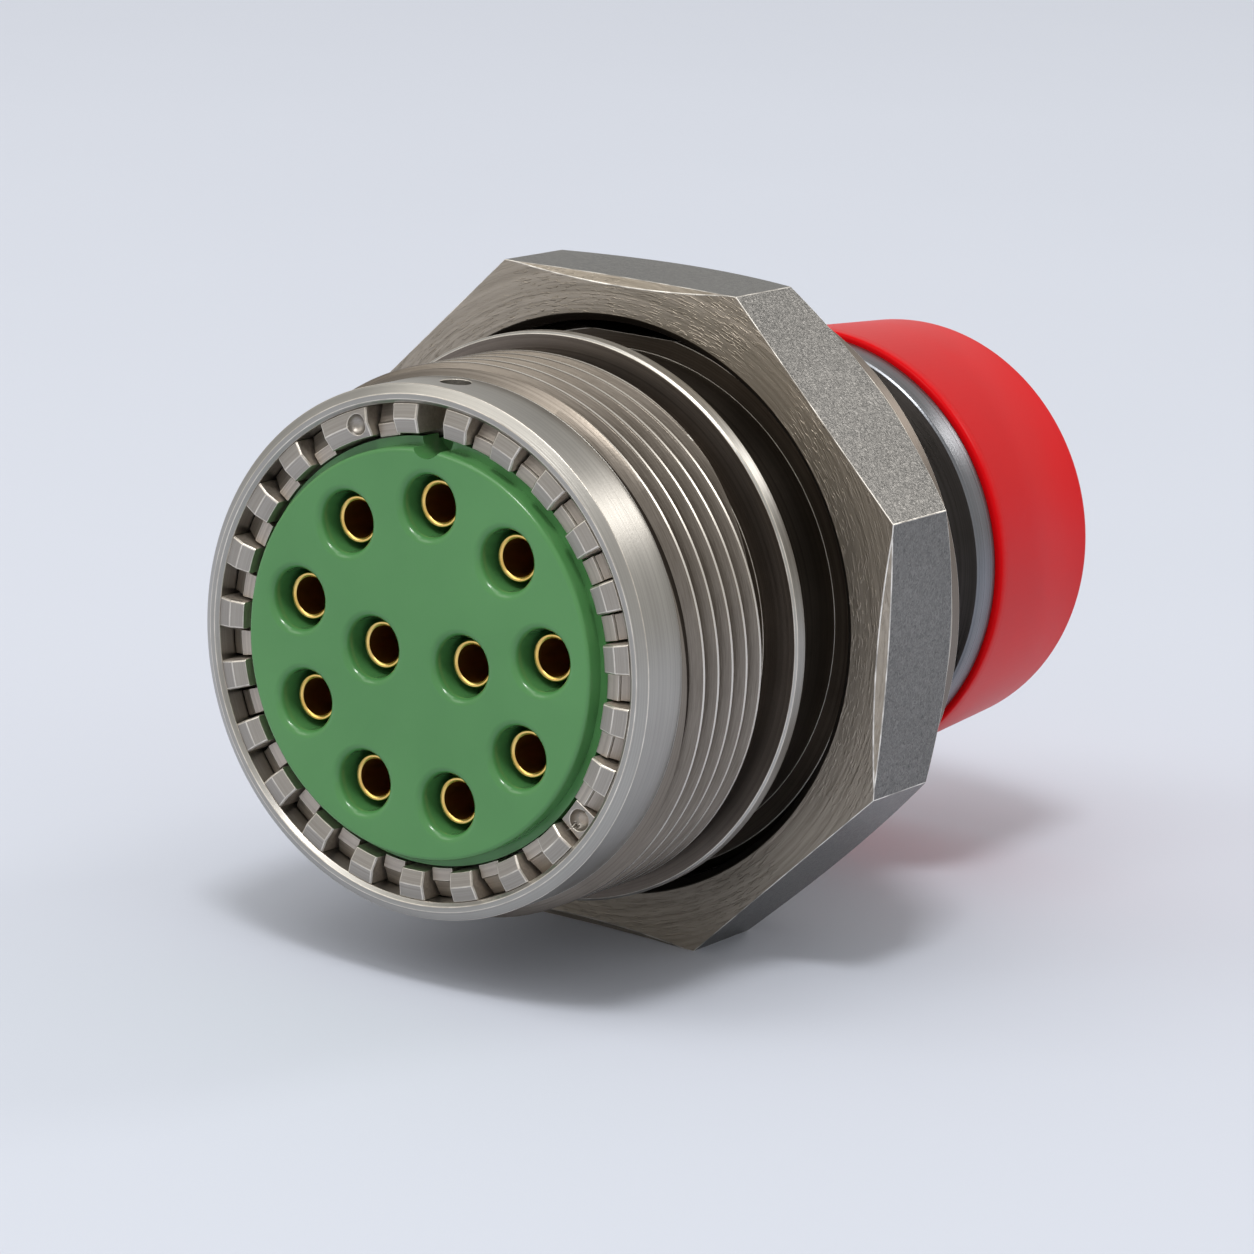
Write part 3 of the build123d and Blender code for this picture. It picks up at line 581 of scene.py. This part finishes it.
# Insert plastic from a fine mould: even mid green with small clear highlights at the mouths.
green_plastic = moulded("thermoplastic_green_moulded", "4b824a", "528a50", 0.17, 0.05)
mouth = [(0, MOUTH_TOOL_FRONT), (CAVITY_R + CAVITY_FLARE + MOUTH_SIDE, MOUTH_TOOL_FRONT),
         (CAVITY_R + CAVITY_FLARE + MOUTH_SIDE, FACE_STATION - 0.02)]
mouth += arc(CAVITY_R + CAVITY_FLARE, FACE_STATION + CAVITY_FLARE, CAVITY_FLARE, 270, 180, 8)
shaft = [(CAVITY_R, CAVITY_END), (CONTACT_HOLE_R, CAVITY_END), (CONTACT_HOLE_R, HOLE_TOOL_END),
         (0, HOLE_TOOL_END)]
cavities = bmesh.new()
for x, z in contact_places:
    tool = turned(mouth + shaft, 72)
    bmesh.ops.translate(tool, verts=tool.verts, vec=(x * MM, 0, z * MM))
    loose = bpy.data.meshes.new("cavity")
    tool.to_mesh(loose)
    tool.free()
    cavities.from_mesh(loose)
    bpy.data.meshes.remove(loose)
notch = rod(NOTCH_R, NOTCH_TOOL_LEN, 64)
turn_about(notch, notch.verts, math.radians(90), "X")
bmesh.ops.translate(notch, verts=notch.verts,
                    vec=(0, (NOTCH_DEPTH - NOTCH_TOOL_LEN / 2 - SEAT) * MM, NOTCH_CENTRE_R * MM))
insert_outline = [(0, FACE_STATION)]
insert_outline += arc(INSERT_FACE_R - INSERT_EDGE, FACE_STATION + INSERT_EDGE, INSERT_EDGE, 270, 360)
insert_outline += [
    (INSERT_FACE_R, LEDGE_FRONT), (LEDGE_R, LEDGE_FRONT), (LEDGE_R, LEDGE_REAR), (INSERT_R, LEDGE_REAR),
    (INSERT_R, SEAL_FRONT), (SEAL_IN_R, SEAL_FRONT), (SEAL_IN_R, SEAL_REAR), (INSERT_R, SEAL_REAR),
    (INSERT_R, COLLAR_SEAT), (INSERT_COLLAR_R, COLLAR_SEAT), (INSERT_COLLAR_R, INSERT_COLLAR_END),
    (0, INSERT_COLLAR_END)]
insert = piece("front_insert_moulded", turned(insert_outline), [green_plastic], "green_thermoplastic",
               "shell_body", "front_insert", cutters=[("DIFFERENCE", cavities), ("DIFFERENCE", notch)],
               sharp=32, bevel_mm=0.08)


def flat_faces(thing):
    """Normals that keep large flat faces flat beside their broken edges."""
    even = thing.modifiers.new("flat_faces", "WEIGHTED_NORMAL")
    even.keep_sharp = True
    even.weight = 80


flat_faces(insert)

# Contacts
# Eleven sockets turned from copper alloy and gold plated, held in the insert by clips;
# only their rims and front bores show, at the bottom of the cavities.
PIN_BORE_R = 1.20
PIN_BORE_END = 8.4
CONTACT_R = 1.47
CONTACT_FRONT = 1.15
LEAD_IN = 0.12
CONTACT_COLLAR_R = 1.88
CONTACT_COLLAR_FRONT = 12.4
CONTACT_COLLAR_END = 14.0
CONTACT_REAR_R = 1.55
CONTACT_END = 29.8
CRIMP_BORE_R = 1.15
CRIMP_BORE_FRONT = 23.6


def plated_gold(name, dark, light, roughness):
    """Bright gold over turned copper alloy: soft, deep yellow, faint mottle."""
    material, tree = new_material(name)
    where = add(tree, "TexCoord").outputs["Object"]
    cloud = add(tree, "TexNoise", Vector=where, Scale=scale_for(1.667), Detail=3.0)
    tone = add(tree, "ValToRGB", Fac=cloud.outputs[0])
    tone.color_ramp.elements[0].color = colour(dark)
    tone.color_ramp.elements[1].color = colour(light)
    relief = add(tree, "Bump", Strength=0.1, Distance=0.01 * MM, Height=cloud.outputs[0])
    finish_with(tree, add(tree, "BsdfPrincipled", Base_Color=tone.outputs[0], Metallic=1.0,
                          Roughness=roughness, Normal=relief.outputs[0]))
    return material


# Rims: bright yellow rings in the dark cavities.
gold = plated_gold("gold_plated_copper_alloy", "f0bf5a", "ffe096", 0.27)
# Inside the bore: painted shade, a deep brown, not black, and duller than the rim.
gold_bore_shade = plated_gold("gold_plated_bore_painted_shade", "a8742e", "c08a3c", 0.45)
socket_front = [
    (0, PIN_BORE_END), (PIN_BORE_R, PIN_BORE_END), (PIN_BORE_R, CONTACT_FRONT + 0.10),
    (PIN_BORE_R + 0.08, CONTACT_FRONT + 0.02), (PIN_BORE_R + LEAD_IN, CONTACT_FRONT),
    (CONTACT_R - 0.05, CONTACT_FRONT), (CONTACT_R, CONTACT_FRONT + 0.05)]
socket_rear = [
    (CONTACT_R, CONTACT_COLLAR_FRONT), (CONTACT_COLLAR_R, CONTACT_COLLAR_FRONT),
    (CONTACT_COLLAR_R, CONTACT_COLLAR_END), (CONTACT_REAR_R, CONTACT_COLLAR_END),
    (CONTACT_REAR_R, CONTACT_END), (CRIMP_BORE_R, CONTACT_END), (CRIMP_BORE_R, CRIMP_BORE_FRONT),
    (0, CRIMP_BORE_FRONT)]
for number, (x, z) in enumerate(contact_places, start=1):
    socket = turned(socket_front + socket_rear, 64)
    bmesh.ops.translate(socket, verts=socket.verts, vec=(x * MM, 0, z * MM))
    made = piece("socket_%02d" % number, socket, [gold, gold_bore_shade], "gold_contact", "shell_body",
                 "contact_%02d" % number)
    # Faces of the front bore take the gold's painted shade.
    for face in made.data.polygons:
        from_centre = math.hypot(face.center.x / MM - x, face.center.z / MM - z)
        station = face.center.y / MM + SEAT
        if from_centre < PIN_BORE_R + NEAR and CONTACT_FRONT + 0.15 < station < PIN_BORE_END + 0.6:
            face.material_index = 1

# Hidden insert stack
# Clips, grey retaining wafer, rear insert, snap ring, keeper and seals; they show only from
# behind or through a cut shell, so the CAD solids stay and get their own finishes.
# Grey insulator plastic: plain and satin.
grey_plastic = moulded("thermoplastic_grey_moulded", "4a4d4e", "585b5c", 0.5, 0.15)
# Silicone seals: a dull, darker green than the insert.
green_rubber = moulded("silicone_green_moulded", "2f5a38", "37653f", 0.6, 0.1)
hidden_finishes = {
    "clip_wafer": grey_plastic, "rear_insert": grey_plastic, "contact_clips": finger_metal,
    "insert_snap_ring": milled_steel, "peripheral_seal": green_rubber, "wire_grommet": green_rubber,
    "grommet_keeper": milled_steel}
for name, finish in hidden_finishes.items():
    NODES[name].data.materials.clear()
    NODES[name].data.materials.append(finish)

# Jam nut
# Octagonal stainless nut milled from bar and screwed on the barrel: the front face is turned and
# warm, the flats are duller ground metal, with scalloped bevels on four of them and a coned back.
NUT_FRONT = 20.0
NUT_REAR = 28.40
NUT_AF = 42.90
NUT_BORE_R = 18.50
NUT_SINK_R = 18.98
NUT_SINK = 0.55
NUT_REAR_CIRCLE_R = 21.35
BLANK_R = 24.5
BAR_SPARE = 1.0
SCALLOP = 0.52
SCALLOP_HALF = 8.30
SCALLOP_TOOL_LEN = 5.0
SLIVER = 0.05
# Inside the first radius the nut's bore takes painted shade and its edges stay dark; by the second the
# outer edges take their full painted highlight.
BORE_SHADE_R = 19.2
EDGE_HIGHLIGHT_R = 19.8
nut = turned([
    (NUT_SINK_R, NUT_FRONT), (BLANK_R, NUT_FRONT), (BLANK_R, NUT_REAR - (BLANK_R - NUT_REAR_CIRCLE_R)),
    (NUT_REAR_CIRCLE_R, NUT_REAR), (NUT_SINK_R, NUT_REAR), (NUT_BORE_R, NUT_REAR - NUT_SINK),
    (NUT_BORE_R, NUT_FRONT + NUT_SINK)], ROUND_STEPS)
corner_r = NUT_AF / 2 / math.cos(math.pi / 8)
bar = rod(corner_r, NUT_REAR - NUT_FRONT + 2 * BAR_SPARE, 8)
turn_about(bar, bar.verts, math.pi / 8, "Z")
turn_about(bar, bar.verts, math.radians(90), "X")
bmesh.ops.translate(bar, verts=bar.verts, vec=(0, ((NUT_FRONT + NUT_REAR) / 2 - SEAT) * MM, 0))
inset = SCALLOP / math.sqrt(2)
cutter_r = (SCALLOP_HALF ** 2 + inset ** 2) / (2 * inset)
cutter_out = (cutter_r - inset) / math.sqrt(2)
scallops = []
for k in range(4):
    tool = rod(cutter_r, SCALLOP_TOOL_LEN, 1536)
    turn_about(tool, tool.verts, math.radians(-45), "X")
    bmesh.ops.translate(tool, verts=tool.verts,
                        vec=(0, (NUT_FRONT - SEAT - cutter_out) * MM, (NUT_AF / 2 + cutter_out) * MM))
    turn_about(tool, tool.verts, math.pi / 2 * k, "Y")
    scallops.append(("DIFFERENCE", tool))


def scratched_face(name, dark, light, roughness):
    """Turned nut face: fine rings, wavy tool marks and short bright worm-like scratches outside."""
    material, tree = new_material(name)
    where = add(tree, "TexCoord").outputs["Object"]
    fine = add(tree, "TexNoise", Vector=round_the_axis(tree, 0.20, 30.0, 20.0), Scale=1.0, Detail=3.0)
    wavy = add(tree, "TexNoise", Vector=round_the_axis(tree, 0.45, 5.0, 20.0), Scale=1.0, Detail=4.0,
               Roughness=0.65, Distortion=0.6)
    worms = add(tree, "TexNoise", Vector=round_the_axis(tree, 0.13, 0.8, 20.0), Scale=1.0, Detail=1.0)
    slow = add(tree, "TexNoise", Vector=where, Scale=scale_for(9.09), Detail=3.0)
    worm = add(tree, "MapRange", Value=worms.outputs[0], From_Min=0.55, From_Max=0.63)
    patch = add(tree, "MapRange", Value=slow.outputs[0], From_Min=0.40, From_Max=0.55)
    worm = add(tree, "Math", {"operation": "MULTIPLY"}, i0=worm.outputs[0], i1=patch.outputs[0])
    blend = add(tree, "Mix", {"data_type": "FLOAT"}, Factor=0.5, i2=fine.outputs[0], i3=wavy.outputs[0])
    tone = add(tree, "ValToRGB", Fac=blend.outputs[0])
    tone.color_ramp.elements[0].position = 0.33
    tone.color_ramp.elements[1].position = 0.66
    tone.color_ramp.elements[0].color = colour(dark)
    tone.color_ramp.elements[1].color = colour(light)
    height = add(tree, "Math", {"operation": "MULTIPLY_ADD"}, i0=worm.outputs[0], i1=0.9,
                 i2=blend.outputs[0])
    edge = add(tree, "Bevel", {"samples": 4}, Radius=0.04 * MM)
    relief = add(tree, "Bump", Strength=0.8, Distance=0.04 * MM, Height=height.outputs[0],
                 Normal=edge.outputs[0])
    grain = add(tree, "Tangent", {"direction_type": "RADIAL", "axis": "Y"})
    finish_with(tree, add(tree, "BsdfPrincipled", Base_Color=tone.outputs[0], Metallic=1.0,
                          Roughness=roughness, Anisotropic=0.5, Anisotropic_Rotation=0.25,
                          Normal=relief.outputs[0], Tangent=grain.outputs[0]))
    return material


def ground_flat(name, dark, light, roughness):
    """Ground bar surface: neutral grey with a fine leathery speckle."""
    material, tree = new_material(name)
    where = add(tree, "TexCoord").outputs["Object"]
    grain = add(tree, "TexNoise", Vector=where, Scale=scale_for(0.2941), Detail=2.0, Roughness=0.6,
                Distortion=1.6)
    slow = add(tree, "TexNoise", Vector=where, Scale=scale_for(16.67), Detail=2.0)
    blend = add(tree, "Mix", {"data_type": "FLOAT"}, Factor=0.20, i2=grain.outputs[0], i3=slow.outputs[0])
    tone = add(tree, "ValToRGB", Fac=blend.outputs[0])
    tone.color_ramp.elements[0].position = 0.36
    tone.color_ramp.elements[1].position = 0.66
    tone.color_ramp.elements[0].color = colour(dark)
    tone.color_ramp.elements[1].color = colour(light)
    edge = add(tree, "Bevel", {"samples": 4}, Radius=0.04 * MM)
    relief = add(tree, "Bump", Strength=0.9, Distance=0.04 * MM, Height=grain.outputs[0],
                 Normal=edge.outputs[0])
    finish_with(tree, add(tree, "BsdfPrincipled", Base_Color=tone.outputs[0], Metallic=1.0,
                          Roughness=roughness, Normal=relief.outputs[0]))
    return material


def highlit_outside_edges(name, inner, outer, roughness):
    """Edges: a near-white painted highlight, partly wear, on the outside of the nut alone; the bore's edges
    keep a dark painted shade.
    """
    material, tree = new_material(name)
    where = add(tree, "TexCoord").outputs["Object"]
    apart = add(tree, "SeparateXYZ", Vector=where)
    flat_place = add(tree, "CombineXYZ", X=apart.outputs[0], Z=apart.outputs[2])
    across = add(tree, "VectorMath", {"operation": "LENGTH"}, i0=flat_place.outputs[0])
    share = add(tree, "MapRange", Value=across.outputs["Value"], From_Min=BORE_SHADE_R * MM,
                From_Max=EDGE_HIGHLIGHT_R * MM)
    wear = add(tree, "TexNoise", Vector=where, Scale=scale_for(1.429), Detail=2.0)
    part = add(tree, "MapRange", Value=wear.outputs[0], From_Min=0.35, From_Max=0.60, To_Min=0.35)
    share = add(tree, "Math", {"operation": "MULTIPLY"}, i0=share.outputs[0], i1=part.outputs[0])
    tone = add(tree, "ValToRGB", Fac=share.outputs[0])
    tone.color_ramp.elements[0].color = colour(inner)
    tone.color_ramp.elements[1].color = colour(outer)
    finish_with(tree, add(tree, "BsdfPrincipled", Base_Color=tone.outputs[0], Metallic=1.0,
                          Roughness=roughness))
    return material


# Turned face: warm, with arcs of fine marks that brighten across the light.
nut_face = scratched_face("stainless_nut_face_turned", "938a7d", "baafa1", 0.42)
# Ground flats: cooler and duller than the face, each with its own tone.
nut_flats = ground_flat("stainless_nut_flats_ground", "5a5957", "83817e", 0.33)
# Bore, sinks and coned back: painted shade, dark, so that the front face stands out.
nut_bore = turned_steel("stainless_nut_bore_painted_shade", "35312d", "4a4540", 0.55, 0.2, 0.3, 0.3)
# Outer edges: thin near-white lines, partly wear and partly painted highlight, stronger and weaker along
# their length.
nut_edge = highlit_outside_edges("stainless_nut_edge_worn_painted_highlight", "5a544d", "fbf6ee", 0.38)
nut_piece = piece("jam_nut_octagon", nut, [nut_face, nut_flats, nut_bore, nut_edge], "stainless_nut", "nut",
                  "jam_nut", bevel_mm=0.05, cutters=[("INTERSECT", bar)] + scallops, sharp=20, bright=3)
welded = bmesh.new()
welded.from_mesh(nut_piece.data)
bmesh.ops.remove_doubles(welded, verts=welded.verts, dist=SLIVER * MM)
welded.to_mesh(nut_piece.data)
welded.free()
nut_points = nut_piece.data.vertices
# Bore and sink faces and the rearward faces take the painted shade.
for face in nut_piece.data.polygons:
    across = max(math.hypot(nut_points[v].co.x, nut_points[v].co.z) for v in face.vertices) / MM
    if across < BORE_SHADE_R or face.normal.y > 0.2:
        face.material_index = 2
    elif face.normal.y > -0.2:
        face.material_index = 1
flat_faces(nut_piece)

# Panel washer and O-ring
# A stamped stainless washer with a D-shaped hole that slides on the barrel before the nut,
# and a black rubber ring in the flange's groove that seals on the panel.
WASHER_FRONT = 28.45
WASHER_REAR = 29.05
WASHER_R = 21.0
WASHER_HOLE_R = 18.53
WASHER_FLAT = 17.68
HOLE_TOOL_FRONT = 27.5
HOLE_TOOL_REAR = 30.0
ORING_STATION = 29.62
ORING_SECTION_R = 0.5
# Stamped sheet: dull brown-grey.
washer_steel = turned_steel("stainless_washer_stamped", "4f473f", "7a7067", 0.4, 0.2, 0.4, 0.5)
# Nitrile rubber: near black, without a hard highlight.
black_rubber = moulded("nitrile_rubber_black", "0f0f10", "1a1a1b", 0.5, 0.2)
disc = turned([(0, WASHER_FRONT), (WASHER_R, WASHER_FRONT), (WASHER_R, WASHER_REAR), (0, WASHER_REAR)])
d_hole = turned([(0, HOLE_TOOL_FRONT), (WASHER_HOLE_R, HOLE_TOOL_FRONT), (WASHER_HOLE_R, HOLE_TOOL_REAR),
                 (0, HOLE_TOOL_REAR)])
bmesh.ops.bisect_plane(d_hole, geom=list(d_hole.verts) + list(d_hole.edges) + list(d_hole.faces),
                       plane_co=(0, 0, WASHER_FLAT * MM), plane_no=(0, 0, 1), clear_outer=True)
bmesh.ops.holes_fill(d_hole, edges=[e for e in d_hole.edges if e.is_boundary], sides=0)
bmesh.ops.recalc_face_normals(d_hole, faces=d_hole.faces)
piece("panel_washer_stamped", disc, [washer_steel], "stainless_washer", "washer", "panel_washer",
      bevel_mm=0.06, cutters=[("DIFFERENCE", d_hole)])
piece("panel_o_ring_moulded", turned(arc(ORING_R, ORING_STATION, ORING_SECTION_R, 0, 345, 23)),
      [black_rubber], "black_rubber", "shell_body", "panel_o_ring")

# Rear sleeve
# Turned stainless sleeve pressed into the hub, with a shoulder in front of the accessory end;
# its end has twelve teeth that stop an accessory turning, hidden by the cap.
SLEEVE_IN_R = 10.90
SPIGOT_R = 14.78
NECK_R = 12.90
NECK_FRONT = 34.70
SHOULDER_FRONT = 43.25
SHOULDER_REAR = 45.47
SHOULDER_R = 14.96
SHOULDER_CHAMFER = 0.15
ACCESSORY_R = 13.30
GROMMET_BORE_R = 11.42
GROMMET_SEAT = 47.0
KEEPER_GROOVE_R = 12.03
KEEPER_FRONT = 55.2
KEEPER_REAR = 56.0
SLEEVE_END = 57.40
SLEEVE_TEETH = 12
TOOTH_GAP = (3.2, 2.2, 5.0)
TOOTH_GAP_R = 12.6
# Accessory end and shoulder: cooler grey, a little shinier than the shell.
sleeve_steel = turned_steel("stainless_sleeve_turned", "6a6c70", "8b8d92", 0.3, 0.12, 0.3, 0.3)
# Neck between hub and shoulder: warm, with tool rings, and painted lighter as fill light.
neck_fill_steel = turned_steel("stainless_neck_painted_fill", "7a7168", "9c9288", 0.42, 0.15, 0.3, 0.3)
sleeve = turned([
    (SLEEVE_IN_R, SLEEVE_SEAT), (SPIGOT_R, SLEEVE_SEAT), (SPIGOT_R, HUB_END), (NECK_R, NECK_FRONT),
    (NECK_R, SHOULDER_FRONT), (SHOULDER_R - SHOULDER_CHAMFER, SHOULDER_FRONT),
    (SHOULDER_R, SHOULDER_FRONT + SHOULDER_CHAMFER), (SHOULDER_R, SHOULDER_REAR),
    (ACCESSORY_R, SHOULDER_REAR), (ACCESSORY_R, SLEEVE_END), (GROMMET_BORE_R, SLEEVE_END),
    (GROMMET_BORE_R, KEEPER_REAR), (KEEPER_GROOVE_R, KEEPER_REAR), (KEEPER_GROOVE_R, KEEPER_FRONT),
    (GROMMET_BORE_R, KEEPER_FRONT), (GROMMET_BORE_R, GROMMET_SEAT), (SLEEVE_IN_R, GROMMET_SEAT)])
slots = bmesh.new()
for k in range(SLEEVE_TEETH):
    tool = bmesh.ops.create_cube(slots, size=1.0)["verts"]
    bmesh.ops.scale(slots, verts=tool, vec=Vector(TOOTH_GAP) * MM)
    bmesh.ops.translate(slots, verts=tool, vec=(0, (SLEEVE_END - SEAT) * MM, TOOTH_GAP_R * MM))
    turn_about(slots, tool, math.tau * k / SLEEVE_TEETH, "Y")
sleeve_piece = piece("rear_sleeve_turned", sleeve, [sleeve_steel, neck_fill_steel], "stainless_sleeve",
                     "shell_body", "rear_sleeve", bevel_mm=0.05, cutters=[("DIFFERENCE", slots)])
# Spigot, hub end and neck faces take the neck steel, painted lighter as fill light.
for face in sleeve_piece.data.polygons:
    if face.center.y / MM + SEAT < SHOULDER_FRONT - NEAR:
        face.material_index = 1

# Protective cap
# Injection moulded red polyethylene cup pushed over the accessory end; satin, slightly
# tapered, with a small rolled lip in front.
CAP_FRONT = 45.57
CAP_END = 59.50
CAP_IN_R = 13.37
CAP_FLOOR = 58.20
CAP_IN_CHAMFER = 0.60
LIP_R = 15.33
LIP_ROUND = 0.25
LIP_LEN = 1.0
WALL_R = LIP_R - 0.12
WALL_FRONT = CAP_FRONT + LIP_LEN + 0.15
END_ROUND = 0.70
END_R = 14.49
# Translucent red polyethylene, shown deep and even: a low IOR keeps the wide lights from paling it.
red_plastic = moulded("polyethylene_red_moulded", "cc070e", "d60a12", 0.32, 0.08, ior=1.13)
cap_outline = [(0, CAP_FLOOR), (CAP_IN_R - CAP_IN_CHAMFER, CAP_FLOOR),
               (CAP_IN_R, CAP_FLOOR - CAP_IN_CHAMFER), (CAP_IN_R, CAP_FRONT)]
cap_outline += arc(LIP_R - LIP_ROUND, CAP_FRONT + LIP_ROUND, LIP_ROUND, 270, 360)
cap_outline += [(LIP_R, CAP_FRONT + LIP_LEN), (WALL_R, WALL_FRONT)]
cap_outline += arc(END_R - END_ROUND, CAP_END - END_ROUND, END_ROUND, 2, 90)
cap_outline += [(0, CAP_END)]
piece("protective_cap_moulded", turned(cap_outline), [red_plastic], "red_plastic", "cap", "protective_cap",
      sharp=50)
